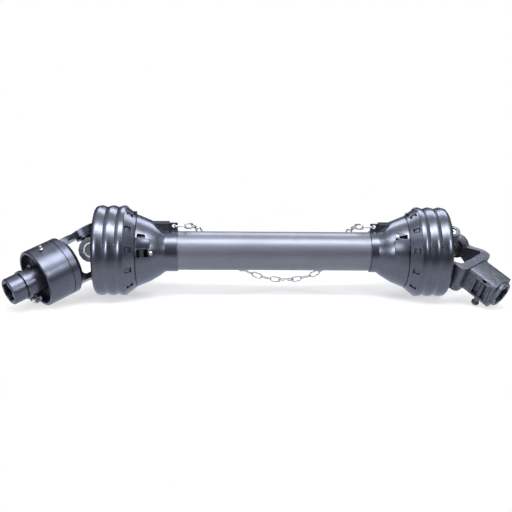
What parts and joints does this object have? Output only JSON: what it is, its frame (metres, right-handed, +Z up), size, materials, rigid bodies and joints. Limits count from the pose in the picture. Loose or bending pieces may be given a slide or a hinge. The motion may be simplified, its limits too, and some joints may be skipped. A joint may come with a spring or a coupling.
{
  "type": "pto drive shaft",
  "caption": "Telescopic cardan shaft with cross joints, an overrunning clutch, a splined push-pin yoke and a ribbed plastic guard with a safety chain.",
  "frame": {"origin": "middle of the whole shaft's footprint, on the floor it lies on", "axes": "+X along the shaft from the clutch end to the push-pin end, -Y to the side that both ends are bent to, +Z up"},
  "size_m": [0.8434, 0.1992, 0.156],
  "materials": {
    "guard_plastic": "satin moulded plastic",
    "bearing_nylon": "matte nylon",
    "black_steel": "semi-gloss dark paint",
    "bright_steel": "ground steel",
    "zinc": "bright zinc plate"
  },
  "bodies": {
    "guard_left": {"left_bell": "guard_plastic", "left_cone": "guard_plastic", "left_bearing_ring": "bearing_nylon", "left_guard_nipple": "zinc", "outer_guard_tube": "guard_plastic", "left_chain": "zinc"},
    "guard_right": {"right_bell": "guard_plastic", "right_cone": "guard_plastic", "right_bearing_ring": "bearing_nylon", "right_guard_nipple": "zinc", "inner_guard_tube": "guard_plastic", "right_chain": "zinc", "chain_hook": "zinc"},
    "shaft_left": {"left_shaft_yoke": "black_steel", "outer_profile_tube": "black_steel", "left_roll_pin": "zinc", "left_shaft_cup_a": "bright_steel", "left_shaft_cup_b": "bright_steel", "left_shaft_clip_a": "zinc", "left_shaft_clip_b": "zinc"},
    "shaft_right": {"right_shaft_yoke": "black_steel", "inner_profile_tube": "black_steel", "right_roll_pin": "zinc", "right_shaft_cup_a": "bright_steel", "right_shaft_cup_b": "bright_steel", "right_shaft_clip_a": "zinc", "right_shaft_clip_b": "zinc"},
    "cross_left": {"left_cross": "bright_steel"},
    "cross_right": {"right_cross": "bright_steel"},
    "clutch": {"clutch_drum": "black_steel", "clutch_cup_upper": "bright_steel", "clutch_cup_lower": "bright_steel", "clutch_clip_upper": "zinc", "clutch_clip_lower": "zinc", "clutch_cover": "black_steel", "clutch_snap_ring": "zinc", "drum_nipple": "zinc"},
    "hub": {"clutch_hub": "black_steel", "clutch_pawl_1": "bright_steel", "clutch_pawl_2": "bright_steel", "clutch_pawl_3": "bright_steel", "hub_bolt": "black_steel", "hub_nut": "zinc", "hub_knob": "black_steel"},
    "yoke": {"push_yoke": "black_steel", "yoke_cup_upper": "bright_steel", "yoke_cup_lower": "bright_steel", "yoke_clip_upper": "zinc", "yoke_clip_lower": "zinc"},
    "pin": {"push_pin": "bright_steel"}
  },
  "joints": [
    {"name": "guard_slide", "type": "slide", "parent": "guard_left", "child": "guard_right", "axis": [1, 0, 0], "range_m": [0, 0.24]},
    {"name": "left_shaft_spin", "type": "hinge", "parent": "guard_left", "child": "shaft_left", "pos_m": [-0.28378, 0.02162, 0.078], "axis": [1, 0, 0], "continuous": true},
    {"name": "right_shaft_spin", "type": "hinge", "parent": "guard_right", "child": "shaft_right", "pos_m": [0.32622, 0.02162, 0.078], "axis": [1, 0, 0], "continuous": true},
    {"name": "left_cross_hinge", "type": "hinge", "parent": "shaft_left", "child": "cross_left", "pos_m": [-0.28378, 0.02162, 0.078], "axis": [0, -0.9659, 0.2588], "range_deg": [-64.4, 2.1]},
    {"name": "clutch_hinge", "type": "hinge", "parent": "cross_left", "child": "clutch", "pos_m": [-0.28378, 0.02162, 0.078], "axis": [-0.4916, 0.2254, 0.8411], "range_deg": [-67.2, 2.3]},
    {"name": "hub_overrun", "type": "hinge", "parent": "clutch", "child": "hub", "pos_m": [-0.28378, 0.02162, 0.078], "axis": [-0.7368, -0.6225, -0.2638], "continuous": true},
    {"name": "right_cross_hinge", "type": "hinge", "parent": "shaft_right", "child": "cross_right", "pos_m": [0.32622, 0.02162, 0.078], "axis": [0, 0.2588, -0.9659], "range_deg": [-94.5, 0.7]},
    {"name": "yoke_hinge", "type": "hinge", "parent": "cross_right", "child": "yoke", "pos_m": [0.32622, 0.02162, 0.078], "axis": [0.7612, 0.6265, 0.1679], "range_deg": [-34.2, 1.8]},
    {"name": "push_pin_press", "type": "slide", "parent": "yoke", "child": "pin", "axis": [0.1588, -0.431, 0.8883], "range_m": [0, 0.0045], "stiffness_N_per_m": 1500, "springref_m": -0.003}
  ],
  "couplings": [
    {"joint": "right_shaft_spin", "follows": "left_shaft_spin", "ratio": 1}
  ]
}
